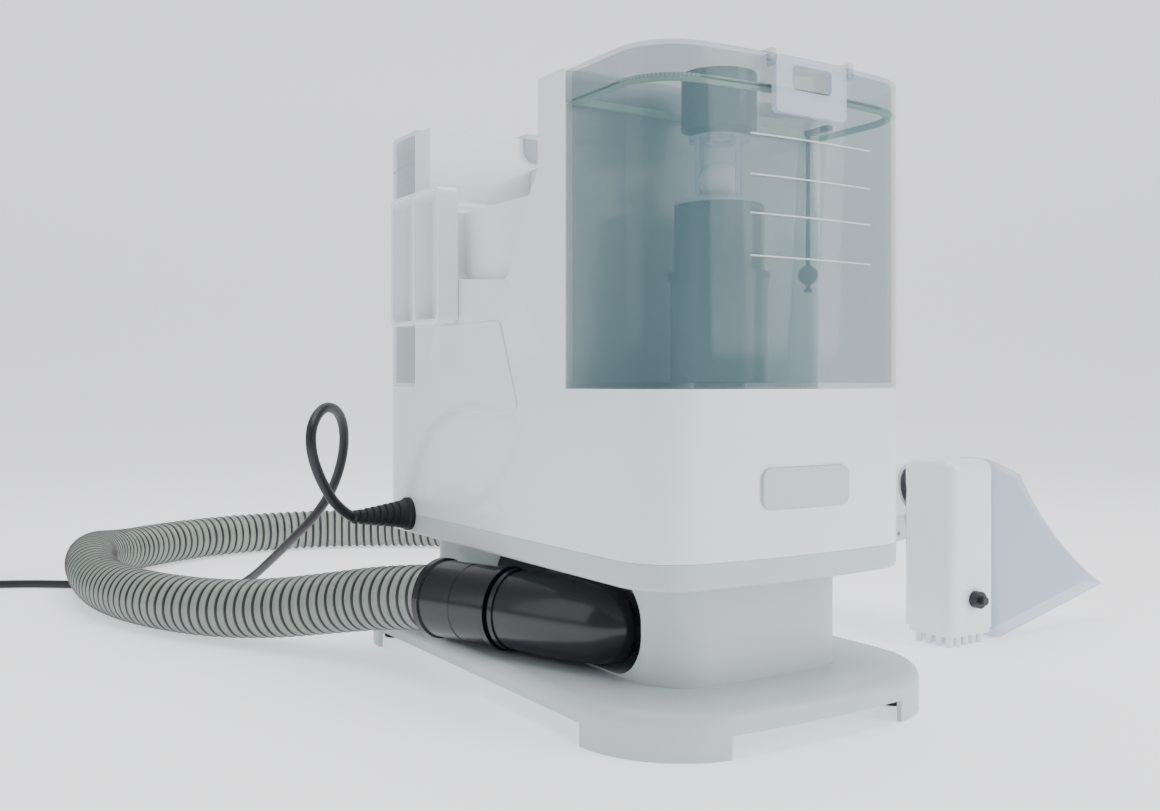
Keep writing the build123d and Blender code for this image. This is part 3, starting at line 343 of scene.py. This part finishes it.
strainRelief = dict(ribs=7, start=7.0, pitch=4.6, radius=9.4, taper=0.7)
bootProfile = [(0, 11.5), (3, 11.5), (4, 10), (6, 10)]
for k in range(strainRelief["ribs"]):
    t = strainRelief["start"] + k * strainRelief["pitch"]
    r = strainRelief["radius"] - k * strainRelief["taper"]
    bootProfile += [(t, r), (t + 2.4, r - 0.1), (t + 3.0, r - 1.5), (t + 4.2, r - 1.6)]
bootProfile += [(40, 5.0), (42, 4.2)]
boot = lathe(
    "strainRelief", pt(-95, 118, 94.5), (-1, 0, 0), bootProfile, "black_rubber", "chassis", ("cable_boot",)
)
print("stage: lead")


# Every other piece is its CAD node with softened edges; edge is their rounding in mm.
def fromNode(name, edge):
    bm = bmesh.new()
    bm.from_mesh(nodes[name].data)
    bmesh.ops.remove_doubles(bm, verts=bm.verts, dist=2e-6)
    bmesh.ops.dissolve_limit(
        bm, angle_limit=math.radians(0.3), use_dissolve_boundaries=False, verts=bm.verts, edges=bm.edges
    )
    made = meshObject(name + "Shell", bm, slotOf[name], bodyOf[name], (name,))
    if edge:
        rounding = made.modifiers.new("edges", "BEVEL")
        rounding.width = edge / 1000
        rounding.segments = 2
        rounding.limit_method = "ANGLE"
        rounding.angle_limit = math.radians(40)
        rounding.harden_normals = True
    return made


edgeOf = {
    "main_shell": 1.0, "base_plate": 1.0, "pedestal": 1.0, "bottom_pan": 0.5, "front_tank": 0.6,
    "rear_tank": 0.6, "front_lid": 0.5, "rear_lid": 0.6, "tool_caddy": 0.9, "tool_head": 0.9,
    "handle_bar": 0.8, "front_latch": 0.7, "nozzle_fan": 0.4, "mains_plug": 0.9, "side_cover": 0.4,
    "badge": 0.6, "float_ball": 0, "gauge_bob": 0, "lid_gasket": 0.2, "inlet_duct": 0,
}
smallEdge = 0.3
done = {"suction_hose", "mains_cord", "cord_coil", "cable_boot", "hose_elbow", "hose_cuff"}
for name in sorted(nodes):
    if name not in done:
        fromNode(name, edgeOf.get(name, smallEdge))
print("stage: shells")


def frontY(x):
    return -bodyLength / 2 + bowRadius - math.sqrt(bowRadius ** 2 - x ** 2)


# Four raised lines follow the bow of the front tank.
levelLines = dict(left=-36.0, right=52.0, heights=(315, 294, 274, 252), thick=0.9, proud=0.5, steps=12)
bm = bmesh.new()
for z in levelLines["heights"]:
    sections = []
    for k in range(levelLines["steps"] + 1):
        x = levelLines["left"] + (levelLines["right"] - levelLines["left"]) * k / levelLines["steps"]
        y = frontY(x)
        half = levelLines["thick"] / 2
        corners = ((y + 0.3, -half), (y - levelLines["proud"], -half * 0.6))
        corners += ((y - levelLines["proud"], half * 0.6), (y + 0.3, half))
        sections.append([bm.verts.new(pt(x, cy, z + cz)) for cy, cz in corners])
    joinRings(bm, sections)
marks = meshObject("levelLines", bm, "level_marks", "waste_tank")

# The elbow has a bullet nose, and the cuff a raised ring at each end.
elbowAxis = (-math.sin(yaw), math.cos(yaw), 0)
elbow = dict(radius=23.0, length=97.0, nose=30.0, noseSteps=14, tip=0.5)
spigot = dict(place=(-62, -98, 50), radius=17, length=29)
noseProfile = [(0, elbow["radius"] - 1), (0.6, elbow["radius"]), (20, 24), (40, 24.6), (58, 24)]
for k in range(elbow["noseSteps"] + 1):
    turn = math.pi / 2 * k / elbow["noseSteps"]
    noseProfile.append((
        elbow["length"] - elbow["nose"] + elbow["nose"] * math.sin(turn),
        max(elbow["tip"], elbow["radius"] * math.cos(turn)),
    ))
lathe(
    "elbowBody", pt(joint["x"], joint["y"], joint["z"]), tuple(-v for v in elbowAxis), noseProfile,
    "black_gloss", "chassis", ("hose_elbow",), 64,
)
spigotProfile = [(0, spigot["radius"]), (spigot["length"], spigot["radius"])]
lathe("elbowSpigot", pt(*spigot["place"]), (1, 0, 0), spigotProfile, "black_gloss", "chassis")
cuffProfile = [
    (0, 22.5), (0.6, 25.2), (4.4, 25.2), (5, 24), (28, 24), (28.5, 23.5), (29.5, 23.5), (30, 24),
    (54.5, 24), (55, 25.2), (59.4, 25.2), (60, 21.6),
]
lathe(
    "cuffBody", pt(joint["x"], joint["y"], joint["z"]), elbowAxis, cuffProfile, "black_gloss", "chassis",
    ("hose_cuff",), 64,
)
for name, along, radius, wide in (("elbowRing", -6, 24.2, 4), ("elbowLine", -60, 23.4, 1.0)):
    origin = pt(joint["x"] + elbowAxis[0] * along, joint["y"] + elbowAxis[1] * along, joint["z"])
    ring = [(0, radius - 1.4), (0.5, radius), (wide - 0.5, radius), (wide, radius - 1.4)]
    lathe(name, origin, elbowAxis, ring, "black_gloss", "chassis")
print("stage: details")

# A paper sweep runs back from the camera and up behind the machine; sizes are in metres.
heading = math.radians(view["azimuth"])
forward = Vector((math.sin(heading), math.cos(heading), 0))
right = Vector((forward.y, -forward.x, 0))
sweep = dict(near=-3.0, bend=3.2, radius=1.6, high=5.0, half=7.0, steps=16)
profile = [(sweep["near"], 0.0)]
for k in range(sweep["steps"] + 1):
    turn = math.pi / 2 * k / sweep["steps"]
    profile.append((
        sweep["bend"] + sweep["radius"] * math.sin(turn), sweep["radius"] * (1 - math.cos(turn))
    ))
profile.append((sweep["bend"] + sweep["radius"], sweep["high"]))
bm = bmesh.new()
edges = []
for ahead, z in profile:
    middle = forward * ahead + Vector((0, 0, z))
    edges.append([bm.verts.new(middle + right * s * sweep["half"]) for s in (-1, 1)])
for a, b in zip(edges, edges[1:]):
    bm.faces.new((a[0], a[1], b[1], b[0]))
mesh = bpy.data.meshes.new("studioFloor")
bm.to_mesh(mesh)
bm.free()
mesh.shade_smooth()
mesh.materials.append(plastic("White studio paper", "F4F4F8", 0.6, 6.0, 0.01, glow=0.75))
floor = bpy.data.objects.new("studioFloor", mesh)
bpy.context.scene.collection.objects.link(floor)


def softbox(name, place, aim, size, power, colour):
    data = bpy.data.lights.new(name, "AREA")
    data.shape = "RECTANGLE"
    data.size, data.size_y = size
    data.energy = power
    data.color = colour
    made = bpy.data.objects.new(name, data)
    made.location = place
    made.rotation_euler = (Vector(aim) - Vector(place)).to_track_quat("-Z", "Y").to_euler()
    bpy.context.scene.collection.objects.link(made)


softbox("overhead", (-0.1, 0.1, 1.7), (-0.1, 0.1, 0), (1.6, 1.6), 26, (1, 1, 1))
softbox("frontRight", (0.9, -1.5, 0.9), (-0.1, -0.1, 0.2), (0.9, 1.4), 24, (1, 0.99, 0.98))
softbox("left", (-1.7, 0.2, 0.9), (-0.1, 0.0, 0.15), (1.0, 1.4), 5, (0.9, 0.94, 1))
world = bpy.data.worlds.new("studio")
world.use_nodes = True
world.node_tree.nodes["Background"].inputs["Color"].default_value = (0.93, 0.94, 0.98, 1)
world.node_tree.nodes["Background"].inputs["Strength"].default_value = 0.5
bpy.context.scene.world = world
print("stage: studio")
